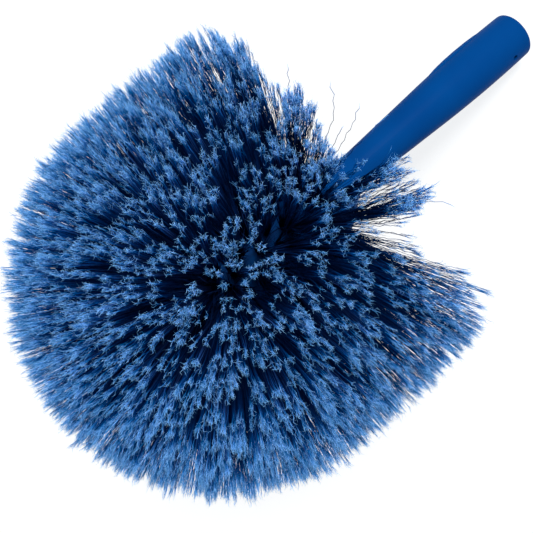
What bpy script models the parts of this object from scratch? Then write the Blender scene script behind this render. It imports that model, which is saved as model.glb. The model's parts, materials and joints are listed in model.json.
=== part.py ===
# Round duster head: a moulded block and handle socket, with tufts set in drilled holes.
#
# Every piece is modelled upright in the brush's own axes, standing on the socket's mouth:
# Z runs up from the mouth to the round nose, and X = Y = 0 is the turning axis.
# An empty then lays the brush down, resting on its lowest bristle tips and on the mouth's rim.

import math

import bmesh
import bpy
from mathutils import Matrix, Vector

# Moulded block and socket, in metres
BLOCK_RADIUS = 0.025
BARREL_LENGTH = 0.063
SHOULDER_LENGTH = 0.030
NECK_RADIUS = 0.0100
TAPER_LENGTH = 0.050
TAPER_END_RADIUS = 0.0125
SOCKET_LENGTH = 0.070
SOCKET_RADIUS = 0.0137
MOUTH_RADIUS = 0.0133
MOUTH_ROUND = 0.0012
BORE_RADIUS = 0.0096
BORE_DEPTH = 0.043
BORE_LEAD_IN = 0.0009

# Hole for the screw that locks a handle, and the raised strip along the socket's side
LOCK_HOLE_RADIUS = 0.0015
LOCK_HOLE_FROM_MOUTH = 0.0125
LOCK_HOLE_ANGLE = math.radians(-53)
STRIP_LENGTH = 0.042
STRIP_FROM_MOUTH = 0.035
STRIP_WIDTH = 0.0066
STRIP_HEIGHT = 0.0011
STRIP_ANGLE = math.radians(76)

# Tufts, their holes and their wire anchors
CLEARANCE = 0.0003
HOLE_RADIUS = 0.00275
HOLE_DEPTH = 0.0083
ROOT_STAND_OUT = 0.0012
ANCHOR_LENGTH = 0.0070
ANCHOR_HEIGHT = 0.0016
ANCHOR_THICKNESS = 0.0005

# Where the tufts stand: rows round the barrel, then rings round the nose
ROWS = 4
TUFTS_IN_ROW = 8
FIRST_ROW_INSET = 0.004
LAST_ROW_INSET = 0.008
NOSE_RINGS = ((math.radians(73), 10), (math.radians(50), 7), (math.radians(27), 4), (0.0, 1))

# Bristles: how far the tips stand out of the block, and how the last row leans back
TRIM = 0.085
BACK_LEAN = math.radians(9)
STRANDS_IN_TUFT = 9
STRAND_SIDES = 3
STRAND_ROOT_RADIUS = 0.00036
STRAND_TIP_RADIUS = 0.0027
LINE_SHARE = 0.32
FLOOR_CUT = 0.0005

TURN_STEPS = 48
NOSE_STEPS = 9
SHOULDER_STEPS = 6
SOCKET_STEPS = 8
MOUTH_STEPS = 3
LOCK_HOLE_SIDES = 12
ROOT_SIDES = 8
STRIP_RINGS = 8
SHARP_ANGLE = math.radians(50)

# Heights over the mouth
NECK_Z = SOCKET_LENGTH + TAPER_LENGTH
SHOULDER_Z = NECK_Z + SHOULDER_LENGTH
NOSE_CENTRE_Z = SHOULDER_Z + BARREL_LENGTH
LAST_ROW_Z = SHOULDER_Z + LAST_ROW_INSET
ROW_PITCH = (BARREL_LENGTH - FIRST_ROW_INSET - LAST_ROW_INSET) / (ROWS - 1)

MOULDED_BLUE = (0.005, 0.060, 0.270, 1.0)
BRISTLE_BLUE = (0.040, 0.160, 0.480, 1.0)


def clear_scene():
    for obj in list(bpy.data.objects):
        bpy.data.objects.remove(obj, do_unlink=True)


def make_collection(name):
    collection = bpy.data.collections.new(name)
    bpy.context.scene.collection.children.link(collection)
    return collection


def make_material(name, colour, roughness):
    material = bpy.data.materials.new(name)
    material.use_nodes = True
    shader = material.node_tree.nodes["Principled BSDF"]
    shader.inputs["Base Color"].default_value = colour
    shader.inputs["Roughness"].default_value = roughness
    shader.inputs["Metallic"].default_value = 0.0
    material.diffuse_color = colour
    return material


def add_object(name, mesh, collection, parent=None):
    obj = bpy.data.objects.new(name, mesh)
    collection.objects.link(obj)
    obj.parent = parent
    return obj


def mesh_from(name, bm):
    mesh = bpy.data.meshes.new(name)
    bm.normal_update()
    bm.to_mesh(mesh)
    bm.free()
    return mesh


def as_cutter(obj):
    obj.hide_render = True
    obj.display_type = "WIRE"
    return obj


def add_boolean(obj, operation, operand, solver="EXACT"):
    """Cut or join with one object, or with every object of a collection."""
    modifier = obj.modifiers.new(operation.title(), "BOOLEAN")
    modifier.operation = operation
    modifier.solver = solver
    if isinstance(operand, bpy.types.Collection):
        modifier.operand_type = "COLLECTION"
        modifier.collection = operand
    else:
        modifier.object = operand
    return modifier


def evaluated_mesh(obj, name):
    """The object's mesh with its modifiers worked in, as a mesh of its own."""
    bpy.context.view_layer.update()
    graph = bpy.context.evaluated_depsgraph_get()
    mesh = bpy.data.meshes.new_from_object(obj.evaluated_get(graph))
    mesh.name = name
    return mesh


def shade_round(mesh):
    """Smooth shading on the round sides, with the edges between unlike faces kept sharp."""
    mesh.shade_smooth()
    mesh.set_sharp_from_angle(angle=SHARP_ANGLE)


def arc(centre_r, centre_z, radius, start, end, steps):
    """Points (r, z) along an arc, with the angles measured from +r towards +z."""
    points = []
    for i in range(steps + 1):
        angle = start + (end - start) * i / steps
        points.append((centre_r + radius * math.cos(angle), centre_z + radius * math.sin(angle)))
    return points


def shoulder_points():
    """The curve that draws the barrel in to the neck, level with both at its ends."""
    points = []
    for i in range(1, SHOULDER_STEPS + 1):
        t = i / SHOULDER_STEPS
        ease = (1 - math.cos(math.pi * t)) / 2
        radius = BLOCK_RADIUS + (NECK_RADIUS - BLOCK_RADIUS) * ease
        points.append((radius, SHOULDER_Z - SHOULDER_LENGTH * t))
    return points


def socket_points():
    """The socket's gentle belly: from the taper's end through the widest girth to the rim."""
    points = []
    middle = 2 * SOCKET_RADIUS - (TAPER_END_RADIUS + MOUTH_RADIUS) / 2
    for i in range(SOCKET_STEPS):
        t = i / SOCKET_STEPS
        radius = (1 - t) ** 2 * TAPER_END_RADIUS + 2 * t * (1 - t) * middle + t ** 2 * MOUTH_RADIUS
        points.append((radius, SOCKET_LENGTH + (MOUTH_ROUND - SOCKET_LENGTH) * t))
    return points


def block_profile():
    """Outer side from the nose down to the mouth, then up the bore to its closed end."""
    quarter = math.pi / 2
    profile = arc(0, NOSE_CENTRE_Z, BLOCK_RADIUS, quarter, 0, NOSE_STEPS)
    profile[0] = (0.0, NOSE_CENTRE_Z + BLOCK_RADIUS)
    profile.append((BLOCK_RADIUS, SHOULDER_Z))
    profile += shoulder_points()
    profile += socket_points()
    profile += arc(MOUTH_RADIUS - MOUTH_ROUND, MOUTH_ROUND, MOUTH_ROUND, 0, -quarter, MOUTH_STEPS)
    profile.append((BORE_RADIUS + BORE_LEAD_IN, 0.0))
    profile.append((BORE_RADIUS, BORE_LEAD_IN))
    profile.append((BORE_RADIUS, BORE_DEPTH))
    profile.append((0.0, BORE_DEPTH))
    return profile


def turned_block(collection, parent):
    bm = bmesh.new()
    verts = [bm.verts.new((r, 0, z)) for r, z in block_profile()]
    for first, second in zip(verts, verts[1:]):
        bm.edges.new((first, second))
    block = add_object("block", mesh_from("block", bm), collection, parent)
    screw = block.modifiers.new("Turn", "SCREW")
    screw.steps = TURN_STEPS
    screw.render_steps = TURN_STEPS
    screw.use_merge_vertices = True
    screw.merge_threshold = 0.00001
    return block


def side_strip(collection, parent):
    """A long low swelling on the socket's side."""
    bm = bmesh.new()
    bmesh.ops.create_uvsphere(bm, u_segments=STRIP_RINGS, v_segments=STRIP_RINGS, radius=1.0)
    half_height = (SOCKET_RADIUS - BORE_RADIUS) / 2
    bmesh.ops.scale(bm, verts=bm.verts, vec=(half_height, STRIP_WIDTH / 2, STRIP_LENGTH / 2))
    strip = as_cutter(add_object("side_strip_form", mesh_from("side_strip", bm), collection, parent))
    reach = SOCKET_RADIUS + STRIP_HEIGHT - half_height
    strip.location = Matrix.Rotation(STRIP_ANGLE, 3, "Z") @ Vector((reach, 0, STRIP_FROM_MOUTH))
    strip.rotation_euler = (0, 0, STRIP_ANGLE)
    return strip


def lock_hole(collection, parent):
    """Radial screw hole through the socket's wall, just inside the mouth."""
    length = MOUTH_RADIUS + SOCKET_RADIUS
    bm = bmesh.new()
    bmesh.ops.create_cone(bm, cap_ends=True, segments=LOCK_HOLE_SIDES, radius1=LOCK_HOLE_RADIUS,
                          radius2=LOCK_HOLE_RADIUS, depth=length)
    hole = as_cutter(add_object("lock_hole_cutter", mesh_from("lock_hole", bm), collection, parent))
    hole.rotation_euler = (0, math.pi / 2, LOCK_HOLE_ANGLE)
    across = Vector((length / 2, 0, LOCK_HOLE_FROM_MOUTH))
    hole.location = Matrix.Rotation(LOCK_HOLE_ANGLE, 3, "Z") @ across
    return hole


def add_round(bm, radius, low, high, sides):
    """A closed cylinder between two heights."""
    centre = Matrix.Translation((0, 0, (low + high) / 2))
    bmesh.ops.create_cone(bm, cap_ends=True, segments=sides, radius1=radius, radius2=radius,
                          depth=high - low, matrix=centre)


def add_bar(bm, length, thickness, low, high):
    """A closed bar across the axis, along X, between two heights."""
    size = Matrix.Diagonal((length, thickness, high - low, 1))
    centre = Matrix.Translation((0, 0, (low + high) / 2))
    bmesh.ops.create_cube(bm, size=1.0, matrix=centre @ size)


def joined_mesh(name, parts):
    """One closed body from overlapping solids, each given as a bmesh."""
    objects = [add_object(name, mesh_from(name, bm), bpy.context.scene.collection) for bm in parts]
    for other in objects[1:]:
        add_boolean(objects[0], "UNION", other)
    mesh = evaluated_mesh(objects[0], name)
    for obj in objects:
        bpy.data.objects.remove(obj, do_unlink=True)
    shade_round(mesh)
    return mesh


def hole_mesh():
    """Cutter for a tuft's hole, with the pocket that its anchor bites into the wall."""
    hole = bmesh.new()
    add_round(hole, HOLE_RADIUS, -HOLE_DEPTH, 2 * ROOT_STAND_OUT, ROOT_SIDES)
    pocket = bmesh.new()
    low = -HOLE_DEPTH
    high = low + ANCHOR_HEIGHT + 2 * CLEARANCE
    add_bar(pocket, ANCHOR_LENGTH + 2 * CLEARANCE, ANCHOR_THICKNESS + 2 * CLEARANCE, low, high)
    return joined_mesh("tuft_hole", [hole, pocket])


def strand_ends(tip_of):
    """Root and tip of each strand: the roots in two staggered lines, spread out to the tips."""
    ends = []
    last = STRANDS_IN_TUFT - 1
    room = (HOLE_RADIUS - CLEARANCE) * math.cos(math.pi / ROOT_SIDES) - STRAND_ROOT_RADIUS
    line_offset = room * LINE_SHARE
    line_half = math.sqrt(room ** 2 - line_offset ** 2)
    for i in range(STRANDS_IN_TUFT):
        across = 2 * i / last - 1
        side = 1 if i % 2 else -1
        root = Vector((across * line_half, side * line_offset, 0))
        ends.append((root, tip_of(i, across, side)))
    return ends


def add_strand(bm, root, tip):
    """A tapered strand that starts inside the tuft's root and ends at its trimmed tip."""
    start = root - Vector((0, 0, ROOT_STAND_OUT / 2))
    along = tip - start
    turn = along.to_track_quat("Z", "Y").to_matrix().to_4x4()
    place = Matrix.Translation(start + along / 2) @ turn
    bmesh.ops.create_cone(bm, cap_ends=True, segments=STRAND_SIDES, radius1=STRAND_ROOT_RADIUS,
                          radius2=STRAND_TIP_RADIUS, depth=along.length, matrix=place)


def tuft_mesh(name, tip_of):
    """A tuft in its hole's axes: Z out of the block, X round the brush, Y towards the nose."""
    root = bmesh.new()
    bottom = CLEARANCE - HOLE_DEPTH
    add_round(root, HOLE_RADIUS - CLEARANCE, bottom, ROOT_STAND_OUT, ROOT_SIDES)
    anchor = bmesh.new()
    add_bar(anchor, ANCHOR_LENGTH, ANCHOR_THICKNESS, bottom, bottom + ANCHOR_HEIGHT)
    strands = bmesh.new()
    for start, tip in strand_ends(tip_of):
        start.z = ROOT_STAND_OUT
        add_strand(strands, start, tip)
    return joined_mesh(name, [root, anchor, strands])


def barrel_tip(row):
    """Tips of a row's tuft: an even share of the turn and of the row pitch."""
    lean = row_lean(row)
    share = math.radians(360) / TUFTS_IN_ROW / STRANDS_IN_TUFT
    reach = BLOCK_RADIUS + TRIM * math.cos(lean)

    def tip_of(i, across, side):
        angle = share * (i - (STRANDS_IN_TUFT - 1) / 2)
        forward = side * ROW_PITCH / 4 - TRIM * math.sin(lean)
        return Vector((reach * math.sin(angle), forward, reach * math.cos(angle) - BLOCK_RADIUS))

    return tip_of


def nose_tip(ring):
    """Tips of a nose tuft: two lines of the round envelope, each an even share of its ring."""
    polar, count = NOSE_RINGS[ring]
    reach = BLOCK_RADIUS + TRIM
    ring_gap = NOSE_RINGS[-2][0] - NOSE_RINGS[-1][0]
    share = math.radians(360) / count / STRANDS_IN_TUFT

    def tip_of(i, across, side):
        forward = side * ring_gap / 4
        if count > 1:
            turn = share * (i - (STRANDS_IN_TUFT - 1) / 2) * math.sin(polar - forward)
        else:
            turn = across * ring_gap / 2
        out = Vector((math.sin(turn), 0, math.cos(turn)))
        out = Matrix.Rotation(-forward, 3, "X") @ out
        return out * reach - Vector((0, 0, BLOCK_RADIUS))

    return tip_of


def row_lean(row):
    """The rows lean back more and more towards the socket."""
    return BACK_LEAN * (row / (ROWS - 1)) ** 2


def tuft_places():
    """Name, pattern index and hole place of every tuft, rows first and then the nose rings."""
    places = []
    for row in range(ROWS):
        z = NOSE_CENTRE_Z - FIRST_ROW_INSET - ROW_PITCH * row
        shift = (ROWS - row) % 2 / 2
        for i in range(TUFTS_IN_ROW):
            angle = math.radians(360) * (i + shift) / TUFTS_IN_ROW
            places.append((f"tuft_row{row + 1}_{i + 1:02d}", "row", row, hole_place(angle, 0.0, z)))
    for ring, (polar, count) in enumerate(NOSE_RINGS):
        shift = ring % 2 / 2
        for i in range(count):
            angle = math.radians(360) * (i + shift) / count
            lift = math.pi / 2 - polar
            place = hole_place(angle, lift, NOSE_CENTRE_Z)
            places.append((f"tuft_nose{ring + 1}_{i + 1:02d}", "nose", ring, place))
    return places


def hole_place(angle, lift, centre_z):
    """Matrix of a hole at the block's surface: Z out, X round the brush, Y towards the nose."""
    turn = Matrix.Rotation(angle, 4, "Z")
    out = turn @ Matrix.Rotation(-lift, 4, "Y")
    normal = (out @ Vector((1, 0, 0))).normalized()
    around = (turn @ Vector((0, 1, 0))).normalized()
    forward = normal.cross(around)
    surface = Vector((0, 0, centre_z)) + normal * BLOCK_RADIUS
    axes = Matrix((around, forward, normal)).transposed().to_4x4()
    return Matrix.Translation(surface) @ axes


def lying_tilt():
    """Angle of the axis to the floor when the brush rests on its mouth's rim and its tips."""
    share = math.radians(360) / TUFTS_IN_ROW / STRANDS_IN_TUFT
    reach = (BLOCK_RADIUS + TRIM * math.cos(BACK_LEAN)) * math.cos(share / 2)
    tip_z = LAST_ROW_Z - TRIM * math.sin(BACK_LEAN) - ROW_PITCH / 4
    across = reach - (MOUTH_RADIUS - MOUTH_ROUND)
    along = tip_z - MOUTH_ROUND
    drop = MOUTH_ROUND + FLOOR_CUT
    return math.acos(drop / math.hypot(across, along)) - math.atan2(along, across)


def lay_down(carrier):
    """Turn the upright brush so that its axis falls towards the socket, at +X."""
    tilt = lying_tilt()
    carrier.rotation_euler = (0, tilt - math.pi / 2, 0)
    rim = MOUTH_RADIUS - MOUTH_ROUND
    height = MOUTH_ROUND + rim * math.cos(tilt) - MOUTH_ROUND * math.sin(tilt)
    carrier.location = (0, 0, height)


def work_in_modifiers(obj):
    """Give the object the mesh that its modifiers make, shaded as a round piece."""
    mesh = evaluated_mesh(obj, obj.name)
    obj.modifiers.clear()
    obj.data = mesh
    shade_round(mesh)


def centre_on_origin(carrier, objects):
    """Shift the brush so that the middle of its box stands over the origin."""
    bpy.context.view_layer.update()
    graph = bpy.context.evaluated_depsgraph_get()
    lows = []
    highs = []
    for obj in objects:
        mesh = obj.evaluated_get(graph).to_mesh()
        points = [obj.matrix_world @ vert.co for vert in mesh.vertices]
        lows.append((min(p.x for p in points), min(p.y for p in points)))
        highs.append((max(p.x for p in points), max(p.y for p in points)))
        obj.evaluated_get(graph).to_mesh_clear()
    carrier.location.x -= (min(p[0] for p in lows) + max(p[0] for p in highs)) / 2
    carrier.location.y -= (min(p[1] for p in lows) + max(p[1] for p in highs)) / 2


def floor_cutter(collection):
    """A slab under the floor, which trims flat the tips that the brush lies on."""
    side = 2 * (NOSE_CENTRE_Z + BLOCK_RADIUS + TRIM)
    thickness = BLOCK_RADIUS
    bm = bmesh.new()
    size = Matrix.Diagonal((side, side, thickness, 1))
    bmesh.ops.create_cube(bm, size=1.0, matrix=Matrix.Translation((0, 0, -thickness / 2)) @ size)
    return as_cutter(add_object("floor_cutter", mesh_from("floor", bm), collection))


def reaches_floor(obj):
    return min((obj.matrix_world @ vert.co).z for vert in obj.data.vertices) < 0


def add_tufts(parts, holes, carrier, material):
    hole = hole_mesh()
    meshes = {}
    tufts = []
    for name, kind, index, place in tuft_places():
        if (kind, index) not in meshes:
            tip_of = barrel_tip(index) if kind == "row" else nose_tip(index)
            mesh = tuft_mesh(f"tuft_{kind}{index + 1}", tip_of)
            mesh.materials.clear()
            mesh.materials.append(material)
            meshes[kind, index] = mesh
        tuft = add_object(name, meshes[kind, index], parts, carrier)
        tuft.matrix_local = place
        tufts.append(tuft)
        cutter = as_cutter(add_object(f"hole_{name}", hole, holes, carrier))
        cutter.matrix_local = place
    return tufts


def build():
    clear_scene()
    parts = make_collection("round_duster")
    cutters = make_collection("cutters")
    holes = bpy.data.collections.new("tuft_holes")
    cutters.children.link(holes)
    carrier = add_object("lying_brush", None, parts)

    block = turned_block(parts, carrier)
    block.data.materials.append(make_material("moulded_plastic", MOULDED_BLUE, 0.35))
    add_boolean(block, "UNION", side_strip(cutters, carrier))
    add_boolean(block, "DIFFERENCE", lock_hole(cutters, carrier))
    tufts = add_tufts(parts, holes, carrier, make_material("bristle", BRISTLE_BLUE, 0.6))
    add_boolean(block, "DIFFERENCE", holes, solver="MANIFOLD")
    work_in_modifiers(block)

    lay_down(carrier)
    bpy.context.view_layer.update()
    floor = floor_cutter(cutters)
    for tuft in tufts:
        if reaches_floor(tuft):
            add_boolean(tuft, "DIFFERENCE", floor)
    centre_on_origin(carrier, [block] + tufts)


build()
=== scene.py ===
import json
import math

import bmesh
import bpy
import numpy as np
from mathutils import Matrix, Vector


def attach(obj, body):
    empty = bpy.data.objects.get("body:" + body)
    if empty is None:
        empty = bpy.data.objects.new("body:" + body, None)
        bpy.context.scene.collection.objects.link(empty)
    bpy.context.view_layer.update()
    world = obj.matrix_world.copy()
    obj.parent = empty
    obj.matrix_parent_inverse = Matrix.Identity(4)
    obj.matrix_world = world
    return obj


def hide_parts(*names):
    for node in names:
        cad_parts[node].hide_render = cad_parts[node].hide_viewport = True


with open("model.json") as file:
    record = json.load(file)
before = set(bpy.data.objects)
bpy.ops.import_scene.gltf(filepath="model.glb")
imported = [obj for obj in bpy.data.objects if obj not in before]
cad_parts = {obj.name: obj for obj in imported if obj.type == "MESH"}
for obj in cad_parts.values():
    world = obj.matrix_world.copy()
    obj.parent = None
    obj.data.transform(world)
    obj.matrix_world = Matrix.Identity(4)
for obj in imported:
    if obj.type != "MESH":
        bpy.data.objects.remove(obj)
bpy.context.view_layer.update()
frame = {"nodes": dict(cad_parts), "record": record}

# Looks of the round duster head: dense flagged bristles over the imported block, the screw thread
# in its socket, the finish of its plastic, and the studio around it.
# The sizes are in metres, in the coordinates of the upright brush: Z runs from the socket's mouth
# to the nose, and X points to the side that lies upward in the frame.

rng = np.random.default_rng(20)

# The least length that is divided by
TINY = 1e-12

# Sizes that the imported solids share
BLOCK_RADIUS = 0.025
NOSE_CENTRE_Z = 0.213
BORE_RADIUS = 0.0096
HOLE_RADIUS = 0.00275
FIRST_ROW_INSET = 0.004
TRIM = 0.085

# Tufts, which are denser here than in the solids: rows on the barrel, and rings on the nose, each
# given by its angle from the nose's pole in degrees and its number of tufts
ROW_PITCH = 0.0085
ROWS = 7
TUFTS_IN_ROW = 16
NOSE_RINGS = ((86, 16), (73, 20), (50, 14), (27, 8), (0, 1))

# What follows from these: the heights of the first and the last row, and the radius of the
# trimmed outline and its length over the round end
FIRST_ROW_Z = NOSE_CENTRE_Z - FIRST_ROW_INSET
LAST_ROW_Z = FIRST_ROW_Z - ROW_PITCH * (ROWS - 1)
REACH = BLOCK_RADIUS + TRIM
ROUND_LENGTH = REACH * math.pi / 2

# Lean of the last row towards the socket, by angle round the brush, both in degrees
BACK_LEANS = (
    (-180, 10), (-90, 9), (-75, 13), (-60, 12), (-50, 14), (-42, 12.5), (-36, 8), (-30, 4),
    (-24, 1), (-18.5, 0.5), (-18, 13), (-14, 16), (-9, 16), (-4, 9), (0, 3), (6, -1), (12, 1),
    (16, 4.5), (21, 6), (26, 3), (38, 7), (45, 8), (60, 5), (75, 3), (90, 1), (110, 4), (135, 8),
    (180, 10),
)

# The lean grows with this power of the way from the first row to the last, and a little beyond
# it, up to this much of that way
LEAN_POWER = 2
LEAN_LIMIT = 1.1

# Screw thread in the bore, the part of a turn over which its ends fade out, and the angle from
# which its edges are sharp
THREAD_PITCH = 0.0050
THREAD_FROM = 0.0030
THREAD_TO = 0.0400
THREAD_DEPTH = 0.0015
THREAD_FOOT = 0.0026
THREAD_CREST = 0.0012
THREAD_BITE = 0.0002
THREAD_STEPS = 32
THREAD_FADE = 0.25
SHARP_EDGE = math.radians(40)

# Locks of bristles, in even rings over the trimmed outline that are packed as triangles: their
# jitter is a share of their spacing, and its turn grows no more within this angle, in radians,
# of the pole
LOCK_SPACING = 0.0059
LOCK_JITTER = 0.42
RING_RISE = math.sin(math.radians(60))
FEWEST_IN_RING = 3
POLE_ANGLE = 0.05

# Their width, how much they differ in size and in trim, and their round end: its width at the
# tip and how fast it widens, in shares
LOCK_RADIUS = 0.0028
LOCK_SIZE_SPREAD = 0.30
LOCK_TRIM_SPREAD = 0.0015
LOCK_END_WIDTH = 0.10
LOCK_WIDENING = 2.5

# How freely a lock chooses among the nearest tufts, and how far it is drawn to the middle of the
# locks that its tuft holds: a share of the way, and the most
OWNER_SPREAD = 1.0
GATHER = 0.10
MOST_GATHER = 0.0012

# Hairs of a lock: their ends stand this far below its tip on average and at most
HAIR_SIDES = 3
HAIRS_IN_LOCK = 5
HAIR_RADIUS = 0.00017
HAIR_TAPER = 0.35
HAIR_WAVER = 0.0004
HAIR_DEPTH = 0.0028
DEEPEST_HAIR = 0.011

# Roots of hairs: a hair that ends ROOT_FAN or more from the middle of its tuft starts at
# ROOT_SHARE of the hole's radius
ROOT_FAN = 0.020
ROOT_SHARE = 0.85
ROOT_JITTER = 0.0003
ROOT_SINK = 0.001

# The curve of a hair: how much it leaves along the hole, how straight it arrives, and how far
# its two inner points stand from its ends, as shares of its length
LEAVE_NORMAL = 0.35
ARRIVE_SPREAD = 0.05
LEAVE_ARM = 0.42
ARRIVE_ARM = 0.30

# Shorter, plainer hairs that fill the brush between the locks, in two lengths
FILL_HAIRS = 6
FILL_DEPTHS = (0.017, 0.050)
STUB_HAIRS = 5
STUB_DEPTHS = (0.042, 0.070)
FILL_SPREAD = 0.0030
FILL_RADIUS = 0.00025

# The split end of each hair
FLAGS_IN_HAIR = 6
FLAG_RADIUS = 0.000075
FLAG_LENGTH = 0.0085
FLAG_SHORTENING = (0.35, 1.0)
FLAG_SPREAD = 0.0012
FLAG_CURL = 0.0008
FLAG_SLIP = 0.0011
FLAG_SPLAY = 2.6

# Places of the points along a hair of each kind, and the flags' thickness at theirs
CRIMP_POINTS = 20
STEM_SHARES = np.array((0.0, 0.30, 0.62, 0.86, 1.0))
FILL_SHARES = np.array((0.0, 0.45, 1.0))
FLAG_SHARES = np.array((0.0, 0.55, 0.82, 1.0))
FLAG_TAPER = np.array((1.0, 1.0, 0.85, 0.0))
CRIMP_SHARES = np.linspace(0, 1, CRIMP_POINTS)

# How far up the bristles' colours each kind of hair reaches, and over which part of them a
# flag's full length runs. Stems and fill hairs that end deeper in the brush reach less far, so
# they take more of the painted shade low on the colours
STEM_PALENESS = 0.90
FILL_PALENESS = 0.8
STRAY_PALENESS = 0.96
FLAG_PALENESS = 0.22

# The share of its shade that a hair has from its lock, and a flag from its hair
LOCK_SHADE = 0.5
HAIR_SHADE = 0.4

# Hairs that would sink through the floor lie on it, raised by this share of their depth
FLOOR_GAP = 0.0006
FLOOR_SPREAD = 0.12

# Objects that the bristles are shared out to, and their UV map: columns by shade, each with a
# narrower one for each side of the hair, and margins. The number under one keeps the highest
# shade in the last column
PIECES = 17
SHADE_STEPS = 24
UNDER_ONE = 0.999
UV_SIDE_WIDTH = 0.3
UV_SIDE_MARGIN = 0.05
UV_END_MARGIN = 0.01

# The crimped hairs of the last rows: the height that their feet stay below, the reach of their
# zigzags, its range and sideways drift as shares of it, how many run-ups to the full reach a
# hair would hold, and how much such a lock weighs where the locks are shared out
CRIMPED_BELOW = 0.170
CRIMP = 0.00038
CRIMP_EVENNESS = (0.2, 1.0)
CRIMP_DRIFT = 0.5
CRIMP_RUN_UPS = 4
CRIMPED_WEIGHT = 1.7

# Strays that stand out of them, each given by its angle round the brush and its lean towards the
# socket, in degrees
STRAYS = ((25, 10), (16, 14), (9, 18), (7, 9), (3, 22), (-2.5, 17), (-16, 24), (-22, 20), (-50, 13))
STRAY_REACH = (0.084, 0.091)
STRAY_CRIMP = 0.00055
STRAY_RADIUS = 0.00018
STRAY_BEND = 0.35
STRAY_SHADES = (0.3, 1.0)

# Extra locks of the last row, over the socket and round the neck: how many, their angles round
# the brush and their leans, in degrees
EXTRA_LOCKS = (
    (40, (-17, -5), (9, 18)),
    (14, (-8, 12), (-6, 2)),
    (16, (1, 13), (-1, 4)),
    (24, (13, 22), (0, 9)),
    (36, (28, 62), (2, 7)),
    (22, (-80, -42), (5, 13)),
    (3, (10.5, 14), (4, 8)),
)

# Where the trimmed outline stands out: angle round the brush in degrees, height over the mouth,
# how far, and over what reach
SWELLS = (
    (66, 0.158, 0.0010, 0.016),
    (-92, 0.176, 0.0050, 0.026),
)

# Beside the socket the worn brush is thinner: between these angles round it, in degrees, and
# below this height over the mouth, this share of the locks is left
THIN_ANGLES = (-21, -2)
THIN_BELOW = 0.172
THIN_SHARE = 0.60

# Slow waves that draw the locks together here and part them there
WAVES = 18
WAVE_LENGTHS = (0.013, 0.036)
WAVE_REACH = 0.0036

# Partings seen in the photograph: angle round the brush in degrees, height over the mouth, half
# width, and how far round it the tips are drawn apart
PARTINGS = (
    (-1, 0.188, 0.0100, 0.026),
    (-1, 0.203, 0.0045, 0.014),
    (-11, 0.196, 0.0055, 0.016),
    (1, 0.167, 0.0050, 0.014),
    (-54, 0.158, 0.0035, 0.014),
)

# Bristles: colours by place along the hair, near black low down as painted shade deep in the
# brush and pale where the ends are split, then ranges by shade of their value and saturation,
# and their roughness from root to tip
BRISTLE_COLOURS_AND_PAINTED_SHADE = (
    (0.0, (0.000, 0.007, 0.038)),
    (0.66, (0.000, 0.018, 0.100)),
    (0.81, (0.000, 0.075, 0.325)),
    (0.91, (0.010, 0.225, 0.645)),
    (1.0, (0.250, 0.570, 1.000)),
)
BRISTLE_VALUES = (0.52, 1.62)
BRISTLE_SATURATIONS = (1.12, 0.88)
BRISTLE_ROUGHNESS = (0.50, 0.70)

# Plastic: colours of its clouds, and the scales of the clouds and of the grain
PLASTIC_COLOURS = (
    (0.30, (0.000, 0.044, 0.199)),
    (0.70, (0.000, 0.052, 0.223)),
)
PLASTIC_ROUGHNESS = (0.34, 0.46)
PLASTIC_SPECULAR = 0.015
CLOUD_SCALE = 34.0
CLOUD_DETAIL = 4.0
GRAIN_SCALE = 900.0
GRAIN_DETAIL = 3.0
GRAIN_STRENGTH = 0.12
GRAIN_HEIGHT = 0.0002

# Floor, with the light that it sends to the camera
FLOOR_SIDE = 6
FLOOR_COLOUR = (0.28, 0.28, 0.28, 1)
FLOOR_ROUGHNESS = 0.9
FLOOR_GLOW = (0.96, 0.98, 1.0, 1)
FLOOR_GLOW_STRENGTH = 0.79

# Room light by height, as the rise of a direction, and the key light, in the frame
ROOM_HEIGHTS = (0.15, 0.75)
ROOM_LEVELS = (1.12, 0.52)
KEY_RISE = 0.30
KEY_TARGET = (0, 0, 0.10)
KEY_DISTANCE = 1.6
KEY_SIDE = 0.4
KEY_POWER = 20.5

# Camera, fitted to the photograph's frame of 533 by 533 pixels. The axis turn is the angle in the
# picture between the brush's axis and the horizontal, and the depth tilt is how far that axis
# leans out of the picture's plane. The last two say where the picture's middle lies, from the
# nose's centre towards the mouth and across
FRAME_SIDE = 533
FOCAL_PIXELS = 700
CAMERA_DISTANCE = 0.372
CLIP_START = 0.01
AXIS_TURN = math.radians(40.8)
AXIS_DEPTH_TILT = math.radians(6)
CENTRE_ALONG = 0.0216
CENTRE_ACROSS = 0.0082

rim_mount = frame["record"]["mounts"][0]
AXIS_DOWN = Vector(rim_mount["axis"]).normalized()
MOUTH = Vector((rim_mount["pos_m"][0], 0, rim_mount["pos_m"][2]))


def brush_axes():
    """Matrix from the upright brush to the frame."""
    up = -AXIS_DOWN
    side = Vector((0, 1, 0))
    top = side.cross(up)
    turn = Matrix((top, side, up)).transposed().to_4x4()
    return Matrix.Translation(MOUTH) @ turn


BRUSH = brush_axes()
BRUSH_TURN = np.array(BRUSH.to_3x3())
BRUSH_PLACE = np.array(BRUSH.translation)


def to_frame(points):
    """Upright brush coordinates to the frame's, for an array of points."""
    return points @ BRUSH_TURN.T + BRUSH_PLACE


def unit(vectors):
    """Vectors of length 1, for an array of vectors."""
    return vectors / np.maximum(np.linalg.norm(vectors, axis=-1, keepdims=True), TINY)


def on_axis(heights):
    """Vectors of these heights along the brush's axis."""
    zero = np.zeros_like(heights)
    return np.stack((zero, zero, heights), -1)


def in_degrees(angle):
    """Angles round the brush in degrees, from -180 to 180."""
    return (np.degrees(angle) + 180) % 360 - 180


# Where the tufts stand

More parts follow.
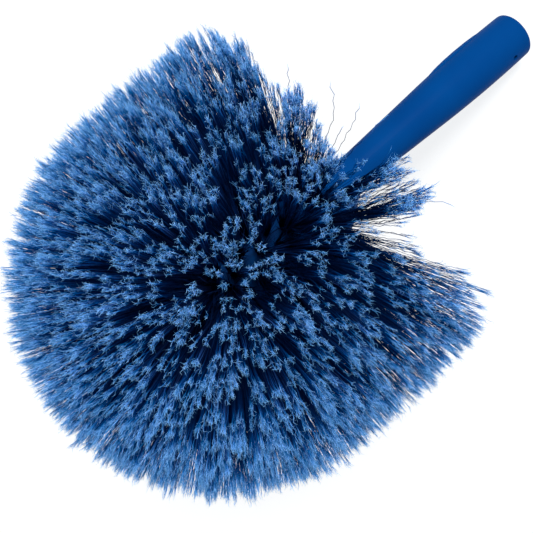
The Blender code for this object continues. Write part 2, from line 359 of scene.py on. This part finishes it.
def tuft_ring(count, stagger, flat, rise, centre_z):
    """Roots and outward directions of one ring of tufts.

    stagger is 1 where the ring is turned by half a space, and else 0; flat and rise are the
    parts of the directions across and along the brush's axis."""
    angles = [2 * math.pi * (i + stagger / 2) / count for i in range(count)]
    out = np.array([(flat * math.cos(angle), flat * math.sin(angle), rise) for angle in angles])
    return out * BLOCK_RADIUS + np.array((0, 0, centre_z)), out


def tuft_roots():
    """Roots and outward directions of all tufts."""
    rings = []
    for row in range(ROWS):
        rings.append(tuft_ring(TUFTS_IN_ROW, row % 2, 1.0, 0.0, FIRST_ROW_Z - ROW_PITCH * row))
    for ring, (polar, count) in enumerate(NOSE_RINGS):
        tilt = math.radians(polar)
        stagger = (ring + 1) % 2
        rings.append(tuft_ring(count, stagger, math.sin(tilt), math.cos(tilt), NOSE_CENTRE_Z))
    roots, normals = zip(*rings)
    return np.concatenate(roots), np.concatenate(normals)


# Where the locks end

def row_lean(z, angle):
    """The rows lean back more and more towards the socket, unevenly round the worn brush."""
    share = np.clip((FIRST_ROW_Z - z) / (FIRST_ROW_Z - LAST_ROW_Z), 0, LEAN_LIMIT)
    places, leans = np.array(BACK_LEANS).T
    return np.radians(np.interp(in_degrees(angle), places, leans)) * share ** LEAN_POWER


def leaning_tips(feet, out, lean):
    """Where locks end that leave the block along out and lean towards the socket."""
    return feet + TRIM * (out * np.cos(lean)[..., None] + on_axis(-np.sin(lean)))


def trimmed_surface(angle, along):
    """Point of the trimmed outline, and where on the block it grows from.

    along runs down from the nose's pole over the round end and then down the barrel."""
    polar = np.clip(along / REACH, 0, math.pi / 2)
    z = NOSE_CENTRE_Z - np.maximum(along - ROUND_LENGTH, 0)
    out = np.stack((np.cos(angle) * np.sin(polar), np.sin(angle) * np.sin(polar), np.cos(polar)), -1)
    feet = out * BLOCK_RADIUS + on_axis(z)
    return leaning_tips(feet, out, row_lean(z, angle)), feet


def even_places():
    """Angles round the brush and ways down its outline, in even rings, and the whole way."""
    length = ROUND_LENGTH + NOSE_CENTRE_Z - LAST_ROW_Z + ROW_PITCH / 2
    rings = int(length / LOCK_SPACING / RING_RISE)
    angles = []
    alongs = []
    for ring in range(rings):
        along = (ring + 0.5) * length / rings
        girth = 2 * math.pi * REACH * math.sin(min(along / REACH, math.pi / 2))
        count = max(FEWEST_IN_RING, round(girth / LOCK_SPACING))
        angles.append((np.arange(count) + rng.random()) * 2 * math.pi / count)
        alongs.append(np.full(count, along))
    return np.concatenate(angles), np.concatenate(alongs), length


def scattered_locks():
    """Jittered points over the trimmed outline, one for each lock of bristles, and their feet."""
    angle, along, length = even_places()
    jitter = LOCK_SPACING * LOCK_JITTER
    radius = REACH * np.sin(np.clip(along / REACH, POLE_ANGLE, math.pi / 2))
    angle = angle + rng.uniform(-jitter, jitter, len(angle)) / radius
    along = np.clip(along + rng.uniform(-jitter, jitter, len(along)), 0, length)
    tips, feet = trimmed_surface(angle, along)
    degrees = in_degrees(angle)
    thin = (degrees > THIN_ANGLES[0]) & (degrees < THIN_ANGLES[1]) & (feet[:, 2] < THIN_BELOW)
    left = ~thin | (rng.random(len(angle)) < THIN_SHARE)
    return tips[left], feet[left]


def wander(points):
    """A smooth random shift, made of a few slow waves."""
    shift = np.zeros_like(points)
    for _ in range(WAVES):
        wave = unit(rng.normal(size=3)) * 2 * math.pi / rng.uniform(*WAVE_LENGTHS)
        push = unit(rng.normal(size=3))
        shift += push * np.sin(points @ wave + rng.uniform(0, 2 * math.pi))[:, None]
    return shift * WAVE_REACH / math.sqrt(WAVES / 2)


def outline_point(degrees, height):
    """The point of the trimmed outline at one angle round the barrel and one height."""
    along = ROUND_LENGTH + NOSE_CENTRE_Z - height
    return trimmed_surface(np.array([math.radians(degrees)]), np.array([along]))[0][0]


def open_partings(tips):
    """Push the tips away from the middle of each parting."""
    for degrees, height, half_width, reach in PARTINGS:
        apart = tips - outline_point(degrees, height)
        gap = np.linalg.norm(apart, axis=1, keepdims=True)
        near = np.clip(1 - gap / reach, 0, 1)
        tips = tips + unit(apart) * half_width * near ** 2
    return tips


def swollen(tips):
    """How far each tip stands out of the even trim."""
    extra = np.zeros((len(tips), 1))
    for degrees, height, most, reach in SWELLS:
        gap = np.linalg.norm(tips - outline_point(degrees, height), axis=1, keepdims=True)
        extra += most * np.exp(-(gap / reach) ** 2)
    return extra


def last_row(angle, lean):
    """Tips and feet in the last row, for given angles round the brush and leans."""
    out = np.stack((np.cos(angle), np.sin(angle), np.zeros_like(angle)), -1)
    feet = out * BLOCK_RADIUS + on_axis(np.full(len(angle), LAST_ROW_Z))
    return leaning_tips(feet, out, lean), feet


def extra_locks():
    """Tips and feet of the extra locks over the socket and the neck."""
    groups = []
    for count, angles, leans in EXTRA_LOCKS:
        angle = np.radians(rng.uniform(*angles, count))
        lean = np.radians(rng.uniform(*leans, count))
        groups.append(last_row(angle, lean))
    tips, feet = zip(*groups)
    return np.concatenate(tips), np.concatenate(feet)


def worn_locks():
    """Tips and feet of the locks, gathered and parted as on the worn brush."""
    tips, feet = scattered_locks()
    moved = open_partings(tips + wander(tips))
    more_tips, more_feet = extra_locks()
    moved = np.concatenate((moved, more_tips))
    feet = np.concatenate((feet, more_feet))
    trim = TRIM + swollen(moved) + rng.normal(size=(len(moved), 1)) * LOCK_TRIM_SPREAD
    return feet + unit(moved - feet) * trim, feet


# Hair geometry

def frames_along(paths):
    """Two directions across every point of every path."""
    tangents = np.empty_like(paths)
    tangents[:, 1:-1] = paths[:, 2:] - paths[:, :-2]
    tangents[:, 0] = paths[:, 1] - paths[:, 0]
    tangents[:, -1] = paths[:, -1] - paths[:, -2]
    tangents = unit(tangents)
    hint = unit(rng.normal(size=(len(paths), 1, 3)))
    first = unit(np.cross(tangents, hint))
    second = np.cross(tangents, first)
    return first, second


def off_floor(paths):
    """Hairs that would go through the floor spread out on it instead."""
    sunk = np.minimum(paths[..., 2] - FLOOR_GAP, 0)
    paths[..., 2] = np.maximum(paths[..., 2], FLOOR_GAP) - sunk * FLOOR_SPREAD
    return paths


def hair_points(paths, radii):
    """The corners round every point of every path but the last, which is sharp."""
    first, second = frames_along(paths)
    turns = (np.arange(HAIR_SIDES) * 2 * math.pi / HAIR_SIDES)[:, None, None, None]
    ring = (np.cos(turns) * first + np.sin(turns) * second).transpose(1, 2, 0, 3)
    body = paths[:, :-1, None] + radii[:, :-1, None, None] * ring[:, :-1]
    return np.concatenate((body.reshape(len(paths), -1, 3), paths[:, -1:]), 1)


def hair_faces(k):
    """The faces of a hair of k points and the side that each is on: body, tip and cap."""
    side = np.arange(HAIR_SIDES)
    after = (side + 1) % HAIR_SIDES
    low = HAIR_SIDES * np.arange(k - 2)[:, None]
    high = low + HAIR_SIDES
    body = np.stack((low + side, low + after, high + after, high + side), -1).reshape(-1, 4)
    last = HAIR_SIDES * (k - 2)
    sharp = np.full(HAIR_SIDES, HAIR_SIDES * (k - 1))
    tip = np.stack((last + side, last + after, sharp), -1)
    return (body, np.tile(side, k - 2)), (tip, side), (side[None, ::-1], np.zeros(1, int))


def smooth_mesh(name, points, corners, totals):
    """A smooth mesh of points, its faces' corners, and how many corners each face has."""
    mesh = bpy.data.meshes.new(name)
    mesh.vertices.add(len(points))
    mesh.vertices.foreach_set("co", points.astype(np.float32).reshape(-1))
    mesh.loops.add(len(corners))
    mesh.loops.foreach_set("vertex_index", corners.astype(np.int32))
    mesh.polygons.add(len(totals))
    starts = np.cumsum(totals) - totals
    mesh.polygons.foreach_set("loop_start", starts.astype(np.int32))
    mesh.polygons.foreach_set("use_smooth", np.ones(len(totals), bool))
    mesh.update(calc_edges=True)
    return mesh


def lay_out(mesh, sides, totals, shade, along):
    """UV map: across by shade and side, up by place along the hair.

    sides and totals are given for each face, shade and along for each corner."""
    place = np.arange(len(shade)) - np.repeat(np.cumsum(totals) - totals, totals)
    on_quad = np.repeat(totals, totals) == 4
    right = (place == 1) | (on_quad & (place == 2))
    column = np.floor(shade * SHADE_STEPS * UNDER_ONE)
    within = (np.repeat(sides, totals) + right) * UV_SIDE_WIDTH
    u = (column + within + UV_SIDE_MARGIN) * (1 / SHADE_STEPS)
    v = UV_END_MARGIN + (1 - 2 * UV_END_MARGIN) * np.clip(along, 0, 1)
    layer = mesh.uv_layers.new(name="OFBake")
    layer.data.foreach_set("uv", np.stack((u, v), -1).astype(np.float32).reshape(-1))


class HairMesh:
    """Collects three-sided hairs and turns them into one mesh."""

    def __init__(self):
        self.points = []
        self.along = []
        self.shade = []
        self.faces = []
        self.sides = []
        self.count = 0

    def add(self, paths, radii, along, shade):
        """paths (n, k, 3); radii (n, k) with the last point sharp; along (n, k); shade (n,)."""
        points = hair_points(off_floor(to_frame(paths)), radii)
        n, points_in_hair = points.shape[:2]
        base = self.count + np.arange(n)[:, None, None] * points_in_hair
        for faces, sides in hair_faces(paths.shape[1]):
            self.faces.append((base + faces).reshape(-1, faces.shape[1]))
            self.sides.append(np.tile(sides, n))
        along = np.concatenate((np.repeat(along[:, :-1], HAIR_SIDES, 1), along[:, -1:]), 1)
        self.points.append(points.reshape(-1, 3))
        self.along.append(along.reshape(-1))
        self.shade.append(np.repeat(shade, points_in_hair))
        self.count += n * points_in_hair

    def build(self, name, material):
        """All hairs so far as one object of the brush."""
        along = np.concatenate(self.along)
        shade = np.concatenate(self.shade)
        corners = np.concatenate([faces.reshape(-1) for faces in self.faces])
        totals = np.concatenate([np.full(len(faces), faces.shape[1]) for faces in self.faces])
        mesh = smooth_mesh(name, np.concatenate(self.points), corners, totals)
        for label, values in (("along", along), ("shade", shade)):
            layer = mesh.attributes.new(label, "FLOAT", "POINT")
            layer.data.foreach_set("value", values.astype(np.float32))
        lay_out(mesh, np.concatenate(self.sides), totals, shade[corners], along[corners])
        mesh.materials.append(material)
        piece = bpy.data.objects.new(name, mesh)
        bpy.context.scene.collection.objects.link(piece)
        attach(piece, "root")
        return piece


# Growing the hairs

def curve_points(start, out, tip, arrive, shares):
    """Points on a smooth curve that leaves along out and arrives along arrive."""
    length = np.linalg.norm(tip - start, axis=-1, keepdims=True)
    a = start[:, None]
    b = (start + out * length * LEAVE_ARM)[:, None]
    c = (tip - arrive * length * ARRIVE_ARM)[:, None]
    d = tip[:, None]
    t = np.asarray(shares)[None, :, None]
    return a * (1 - t) ** 3 + 3 * b * t * (1 - t) ** 2 + 3 * c * t * t * (1 - t) + d * t ** 3


def mixed_shade(shade, count, kept):
    """Shades for count parts of each thing, which keep this share of the thing's own shade."""
    own = rng.random(len(shade) * count)
    return np.clip(np.repeat(shade, count) * kept + own * (1 - kept), 0, 1)


def nearest_tufts(feet, roots):
    """The tuft that each lock grows from: one of the nearest, a little mixed."""
    apart = ((feet[:, None] - roots[None]) ** 2).sum(-1)
    return np.argmin(apart * (1 + OWNER_SPREAD * rng.random(apart.shape)), 1)


def middles(tips, owner, count):
    """The middle of the tips that each tuft holds."""
    total = np.zeros((count, 3))
    np.add.at(total, owner, tips)
    return total / np.maximum(np.bincount(owner, minlength=count), 1)[:, None]


class Layer:
    """A layer of locks over the whole brush, and the tufts that hold them."""

    def __init__(self, tips, feet):
        self.roots, self.normals = tuft_roots()
        self.tips = tips
        self.feet = feet
        self.owner = nearest_tufts(feet, self.roots)
        self.middle = middles(tips, self.owner, len(self.roots))


class Locks:
    """Some locks of a layer: their tips, the tufts that they grow from, sizes and shades."""

    def __init__(self, layer, chosen):
        owner = layer.owner[chosen]
        tips = layer.tips[chosen]
        self.root = layer.roots[owner]
        self.normal = layer.normals[owner]
        self.middle = layer.middle[owner]
        pull = (self.middle - tips) * GATHER
        far = np.linalg.norm(pull, axis=1, keepdims=True)
        self.tips = tips + pull * np.minimum(1, MOST_GATHER / np.maximum(far, TINY))
        self.out = unit(self.tips - self.root)
        self.size = np.exp(rng.normal(size=(len(tips), 1)) * LOCK_SIZE_SPREAD)
        self.shade = rng.random(len(tips))

    def hairs(self, count, depth):
        """Root, tip, direction at both and shade of count hairs in each lock.

        depth is how far each hair ends below its lock's tip, in a lock of middle size."""
        out = np.repeat(self.out, count, 0)
        normal = np.repeat(self.normal, count, 0)
        tip = self.hair_tips(count, depth, out)
        root = self.hair_roots(count, tip, normal)
        leave = unit(normal * LEAVE_NORMAL + out * (1 - LEAVE_NORMAL))
        arrive = unit(out + rng.normal(size=out.shape) * ARRIVE_SPREAD)
        return root, tip, leave, arrive, mixed_shade(self.shade, count, LOCK_SHADE)

    def hair_tips(self, count, depth, out):
        """Tips of the hairs, which fill the lock's round end."""
        size = np.repeat(self.size, count, 0)
        depth = depth * size
        across = unit(np.cross(out, rng.normal(size=out.shape)))
        widened = np.clip(depth / DEEPEST_HAIR * LOCK_WIDENING + LOCK_END_WIDTH, 0, 1)
        width = LOCK_RADIUS * size * np.sqrt(widened)
        width = width * np.sqrt(rng.random(width.shape))
        return np.repeat(self.tips, count, 0) + across * width - out * depth

    def hair_roots(self, count, tip, normal):
        """Roots of the hairs, each on the side of the hole that its tip lies on."""
        apart = tip - np.repeat(self.middle, count, 0)
        apart -= (apart * normal).sum(-1, keepdims=True) * normal
        spread = np.clip(np.linalg.norm(apart, axis=-1, keepdims=True) / ROOT_FAN, 0, 1)
        root = np.repeat(self.root, count, 0) + unit(apart) * HOLE_RADIUS * ROOT_SHARE * spread
        root += rng.normal(size=root.shape) * ROOT_JITTER - normal * ROOT_SINK
        return root


def add_stems(mesh, paths, radius, shares, paleness, shade):
    """Hairs that thin a little towards their tips."""
    rows = np.ones((len(paths), 1))
    radii = radius * (1 - HAIR_TAPER * shares[None]) * rows
    mesh.add(paths, radii, shares[None] * paleness * rows, shade)


def crimp_hairs(paths, reach):
    """Uneven zigzags, as the crimped filament has."""
    n, k = paths.shape[:2]
    first, second = frames_along(paths)
    swing = (-1.0) ** np.arange(k) * np.clip(np.linspace(0, CRIMP_RUN_UPS, k), 0, 1)
    wave = swing[None, :, None] * rng.uniform(*CRIMP_EVENNESS, (n, k, 1)) * reach
    drift = rng.normal(size=(n, k, 1)) * reach * CRIMP_DRIFT
    drift[:, 0] = 0
    return paths + first * wave + second * drift


def grow_flags(mesh, stems, arrive, shade):
    """The split ends of each hair: fine threads that run along it and curl at their very tips."""
    n = len(stems) * FLAGS_IN_HAIR
    tip = np.repeat(stems[:, -1], FLAGS_IN_HAIR, 0)[:, None]
    heading = np.repeat(arrive, FLAGS_IN_HAIR, 0)[:, None]
    shares = FLAG_SHARES[None, :, None]
    length = FLAG_LENGTH * rng.uniform(*FLAG_SHORTENING, (n, 1, 1))
    slip = rng.normal(size=(n, 1, 1)) * FLAG_SLIP
    side = unit(np.cross(heading, rng.normal(size=(n, 1, 3)))) * rng.random((n, 1, 1)) ** 0.5
    curl = rng.normal(size=(n, len(FLAG_SHARES), 3)) * FLAG_CURL
    paths = tip + heading * (slip - length * (1 - shares))
    paths = paths + (side * FLAG_SPREAD + curl) * shares ** FLAG_SPLAY
    radii = FLAG_RADIUS * FLAG_TAPER[None] * np.ones((n, 1))
    along = 1 - (1 - FLAG_SHARES[None]) * length[..., 0] / FLAG_LENGTH * FLAG_PALENESS
    mesh.add(paths, radii, along, mixed_shade(shade, FLAGS_IN_HAIR, HAIR_SHADE))


def grow_locks(mesh, locks, crimped):
    """Flagged hairs, crimped or nearly straight."""
    count = len(locks.tips) * HAIRS_IN_LOCK
    depth = np.minimum(rng.exponential(HAIR_DEPTH, (count, 1)), DEEPEST_HAIR)
    root, tip, leave, arrive, shade = locks.hairs(HAIRS_IN_LOCK, depth)
    shares = CRIMP_SHARES if crimped else STEM_SHARES
    stems = curve_points(root, leave, tip, arrive, shares)
    if crimped:
        stems = crimp_hairs(stems, CRIMP)
    else:
        stems += rng.normal(size=stems.shape) * shares[None, :, None] ** 2 * HAIR_WAVER
    # Stems that end deeper in the brush stop lower on the colours: painted shade
    add_stems(mesh, stems, HAIR_RADIUS, shares, TRIM / (TRIM + depth) * STEM_PALENESS, shade)
    grow_flags(mesh, stems, arrive, shade)


def grow_fill(mesh, locks, count, depths):
    """Shorter, plainer hairs that fill the brush between the locks."""
    depth = rng.uniform(*depths, (len(locks.tips) * count, 1))
    root, tip, leave, arrive, shade = locks.hairs(count, depth)
    tip = tip + rng.normal(size=tip.shape) * FILL_SPREAD
    fill = curve_points(root, leave, tip, arrive, FILL_SHARES)
    # Fill hairs that end deeper in the brush are painted darker all along: painted shade
    add_stems(mesh, fill, FILL_RADIUS, FILL_SHARES, FILL_PALENESS * (1 - depth / TRIM), shade)


def grow_strays(mesh):
    """Single crimped hairs that stand away from the last row, over the socket."""
    angle, lean = np.radians(np.array(STRAYS, float)).T
    tip, root = last_row(angle, lean)
    heading = unit(tip - root)
    tip = root + heading * rng.uniform(*STRAY_REACH, (len(tip), 1))
    arrive = unit(heading + rng.normal(size=heading.shape) * STRAY_BEND)
    paths = crimp_hairs(curve_points(root, heading, tip, arrive, CRIMP_SHARES), STRAY_CRIMP)
    shade = rng.uniform(*STRAY_SHADES, len(tip))
    add_stems(mesh, paths, STRAY_RADIUS, CRIMP_SHARES, STRAY_PALENESS, shade)


def even_pieces(owner, weight):
    """The locks in order of their tufts, in PIECES shares of about equal weight."""
    order = np.argsort(owner, kind="stable")
    total = np.cumsum(weight[order])
    cuts = np.searchsorted(total, total[-1] * np.arange(1, PIECES) / PIECES)
    return np.split(order, cuts)


def grow_bristles(material):
    """All the hairs, in PIECES objects: locks, the fill between them, and the strays."""
    outer = Layer(*worn_locks())
    inner = Layer(*scattered_locks())
    crimped = outer.feet[:, 2] < CRIMPED_BELOW
    outer_shares = even_pieces(outer.owner, np.where(crimped, CRIMPED_WEIGHT, 1.0))
    inner_shares = even_pieces(inner.owner, np.ones(len(inner.owner)))
    pieces = []
    for outer_share, inner_share in zip(outer_shares, inner_shares):
        mesh = HairMesh()
        for kind in (False, True):
            chosen = outer_share[crimped[outer_share] == kind]
            if len(chosen):
                grow_locks(mesh, Locks(outer, chosen), kind)
        fill = Locks(inner, inner_share)
        grow_fill(mesh, fill, FILL_HAIRS, FILL_DEPTHS)
        grow_fill(mesh, fill, STUB_HAIRS, STUB_DEPTHS)
        if not pieces:
            grow_strays(mesh)
        pieces.append(mesh.build(f"bristles_{len(pieces) + 1:02d}", material))
    return pieces


# Screw thread

def thread_corners(step, steps):
    """The four corners of the ridge's section at one step of its way, in the frame."""
    angle = -2 * math.pi * step / THREAD_STEPS
    middle = THREAD_FROM + THREAD_PITCH * step / THREAD_STEPS
    fade = min(1, min(step, steps - step) / THREAD_STEPS / THREAD_FADE)
    foot = BORE_RADIUS + THREAD_BITE
    crest = BORE_RADIUS - THREAD_DEPTH * fade
    section = (
        (foot, -THREAD_FOOT / 2), (crest, -THREAD_CREST / 2),
        (crest, THREAD_CREST / 2), (foot, THREAD_FOOT / 2),
    )
    c = math.cos(angle)
    s = math.sin(angle)
    return [BRUSH @ Vector((radius * c, radius * s, middle + rise)) for radius, rise in section]


def thread_mesh():
    """One flat-topped ridge that winds through the bore."""
    bm = bmesh.new()
    steps = round((THREAD_TO - THREAD_FROM) / THREAD_PITCH * THREAD_STEPS)
    rings = []
    for step in range(steps + 1):
        rings.append([bm.verts.new(corner) for corner in thread_corners(step, steps)])
    for ring, after in zip(rings, rings[1:]):
        for a, b in ((0, 1), (1, 2), (2, 3), (3, 0)):
            bm.faces.new((ring[a], ring[b], after[b], after[a]))
    bm.faces.new(rings[0])
    bm.faces.new(rings[-1])
    bmesh.ops.recalc_face_normals(bm, faces=bm.faces)
    mesh = bpy.data.meshes.new("socket_thread")
    bm.to_mesh(mesh)
    bm.free()
    mesh.shade_smooth()
    mesh.set_sharp_from_angle(angle=SHARP_EDGE)
    return mesh


def socket_thread(material):
    """The coarse thread inside the socket, of the block's own plastic."""
    mesh = thread_mesh()
    mesh.materials.append(material)
    thread = bpy.data.objects.new("socket_thread", mesh)
    bpy.context.scene.collection.objects.link(thread)
    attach(thread, "root")


# Materials

def new_material(name):
    """A material with its node tree and its shader."""
    material = bpy.data.materials.new(name)
    material.use_nodes = True
    tree = material.node_tree
    return material, tree, tree.nodes["Principled BSDF"]


def attribute(tree, name):
    """A value that the mesh carries at its points."""
    node = tree.nodes.new("ShaderNodeAttribute")
    node.attribute_name = name
    return node.outputs["Fac"]


def noise(tree, place, scale, detail):
    """A smooth random value at each place."""
    node = tree.nodes.new("ShaderNodeTexNoise")
    node.inputs["Scale"].default_value = scale
    node.inputs["Detail"].default_value = detail
    tree.links.new(place, node.inputs["Vector"])
    return node.outputs["Fac"]


def colour_ramp(tree, factor, stops):
    """The colour that a factor picks between the stops."""
    node = tree.nodes.new("ShaderNodeValToRGB")
    points = node.color_ramp.elements
    while len(points) < len(stops):
        points.new(0.5)
    for point, (place, colour) in zip(points, stops):
        point.position = place
        point.color = (*colour, 1)
    tree.links.new(factor, node.inputs["Fac"])
    return node.outputs["Color"]


def mapped(tree, factor, ends):
    """A value that runs from the first end to the second while the factor runs from 0 to 1."""
    node = tree.nodes.new("ShaderNodeMapRange")
    node.inputs["To Min"].default_value = ends[0]
    node.inputs["To Max"].default_value = ends[1]
    tree.links.new(factor, node.inputs["Value"])
    return node.outputs["Result"]


def bristle_material():
    """Stems painted near black towards their roots as painted shade deep in the brush, turning pale
    where the ends are split.
    """
    material, tree, shader = new_material("flagged_bristle")
    along = attribute(tree, "along")
    shade = attribute(tree, "shade")
    tone = tree.nodes.new("ShaderNodeHueSaturation")
    tree.links.new(mapped(tree, shade, BRISTLE_VALUES), tone.inputs["Value"])
    tree.links.new(mapped(tree, shade, BRISTLE_SATURATIONS), tone.inputs["Saturation"])
    tree.links.new(colour_ramp(tree, along, BRISTLE_COLOURS_AND_PAINTED_SHADE), tone.inputs["Color"])
    tree.links.new(tone.outputs["Color"], shader.inputs["Base Color"])
    tree.links.new(mapped(tree, along, BRISTLE_ROUGHNESS), shader.inputs["Roughness"])
    shader.inputs["Specular IOR Level"].default_value = 0.0
    return material


def plastic_material():
    """Satin moulded polypropylene, a little cloudy, with a very fine grain."""
    material, tree, shader = new_material("moulded_plastic_look")
    place = tree.nodes.new("ShaderNodeTexCoord").outputs["Object"]
    clouds = noise(tree, place, CLOUD_SCALE, CLOUD_DETAIL)
    grain = noise(tree, place, GRAIN_SCALE, GRAIN_DETAIL)
    bump = tree.nodes.new("ShaderNodeBump")
    bump.inputs["Strength"].default_value = GRAIN_STRENGTH
    bump.inputs["Distance"].default_value = GRAIN_HEIGHT
    tree.links.new(grain, bump.inputs["Height"])
    tree.links.new(bump.outputs["Normal"], shader.inputs["Normal"])
    tree.links.new(colour_ramp(tree, clouds, PLASTIC_COLOURS), shader.inputs["Base Color"])
    tree.links.new(mapped(tree, grain, PLASTIC_ROUGHNESS), shader.inputs["Roughness"])
    shader.inputs["Specular IOR Level"].default_value = PLASTIC_SPECULAR
    return material


def floor_material():
    """Floor that shows as white to the camera and in gloss, and keeps the object's shadow."""
    material, tree, shader = new_material("studio_floor")
    shader.inputs["Base Color"].default_value = FLOOR_COLOUR
    shader.inputs["Roughness"].default_value = FLOOR_ROUGHNESS
    shader.inputs["Specular IOR Level"].default_value = 0.0
    path = tree.nodes.new("ShaderNodeLightPath")
    seen = tree.nodes.new("ShaderNodeMath")
    seen.operation = "MAXIMUM"
    tree.links.new(path.outputs["Is Camera Ray"], seen.inputs[0])
    tree.links.new(path.outputs["Is Glossy Ray"], seen.inputs[1])
    glow = tree.nodes.new("ShaderNodeMath")
    glow.operation = "MULTIPLY"
    glow.inputs[1].default_value = FLOOR_GLOW_STRENGTH
    tree.links.new(seen.outputs["Value"], glow.inputs[0])
    shader.inputs["Emission Color"].default_value = FLOOR_GLOW
    tree.links.new(glow.outputs["Value"], shader.inputs["Emission Strength"])
    return material


def dress_block(material):
    """The block keeps its own solid and takes the plastic's look."""
    block = frame["nodes"]["block"]
    for slot in block.material_slots:
        slot.material = material


# Studio

def seen_axes():
    """Forward from the camera, then along and across the brush as the camera sees it."""
    slope = math.asin(-AXIS_DOWN.z) - AXIS_DEPTH_TILT
    forward = Vector((-math.sin(slope), 0, -math.cos(slope)))
    along = Vector((math.cos(slope), 0, -math.sin(slope)))
    across = Vector((0, -1, 0))
    return forward, along, across


def picture_axes(along, across):
    """Right and up in the picture."""
    c = math.cos(AXIS_TURN)
    s = math.sin(AXIS_TURN)
    return along * c + across * s, along * s - across * c


def add_camera():
    """The camera, where the photograph was taken from."""
    forward, along, across = seen_axes()
    right, up = picture_axes(along, across)
    nose_centre = BRUSH @ Vector((0, 0, NOSE_CENTRE_Z))
    target = nose_centre + along * CENTRE_ALONG + across * CENTRE_ACROSS
    data = bpy.data.cameras.new("camera")
    data.angle = 2 * math.atan(FRAME_SIDE / 2 / FOCAL_PIXELS)
    data.clip_start = CLIP_START
    camera = bpy.data.objects.new("camera", data)
    turn = Matrix((right, up, -forward)).transposed().to_4x4()
    camera.matrix_world = Matrix.Translation(target - forward * CAMERA_DISTANCE) @ turn
    bpy.context.scene.collection.objects.link(camera)
    bpy.context.scene.camera = camera


def add_key_light():
    """A soft square light from the camera's side and a little above it."""
    forward, along, across = seen_axes()
    up = picture_axes(along, across)[1]
    direction = up * KEY_RISE - forward
    data = bpy.data.lights.new("key_light", "AREA")
    data.shape = "SQUARE"
    data.size = KEY_SIDE
    data.energy = KEY_POWER
    light = bpy.data.objects.new("key_light", data)
    place = Vector(KEY_TARGET) + direction.normalized() * KEY_DISTANCE
    turn = direction.to_track_quat("Z", "Y").to_matrix().to_4x4()
    light.matrix_world = Matrix.Translation(place) @ turn
    bpy.context.scene.collection.objects.link(light)


def add_world():
    """A white room that is brighter round the sides than overhead."""
    world = bpy.data.worlds.new("studio")
    world.use_nodes = True
    nodes = world.node_tree.nodes
    links = world.node_tree.links
    place = nodes.new("ShaderNodeTexCoord")
    split = nodes.new("ShaderNodeSeparateXYZ")
    links.new(place.outputs["Generated"], split.inputs["Vector"])
    level = nodes.new("ShaderNodeMapRange")
    ends = zip(("From Min", "From Max", "To Min", "To Max"), ROOM_HEIGHTS + ROOM_LEVELS)
    for name, value in ends:
        level.inputs[name].default_value = value
    links.new(split.outputs["Z"], level.inputs["Value"])
    background = nodes["Background"]
    background.inputs["Color"].default_value = (1, 1, 1, 1)
    links.new(level.outputs["Result"], background.inputs["Strength"])
    bpy.context.scene.world = world


def add_floor():
    """A wide plain floor at the frame's zero height."""
    bpy.ops.mesh.primitive_plane_add(size=FLOOR_SIDE)
    floor = bpy.context.object
    floor.name = "floor"
    floor.data.materials.append(floor_material())


def main():
    add_camera()
    plastic = plastic_material()
    dress_block(plastic)
    socket_thread(plastic)
    pieces = grow_bristles(bristle_material())
    tufts = [name for name in frame["nodes"] if name.startswith("tuft_")]
    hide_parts(*tufts)
    add_key_light()
    add_world()
    add_floor()
    bpy.context.scene.view_settings.view_transform = "Standard"


main()
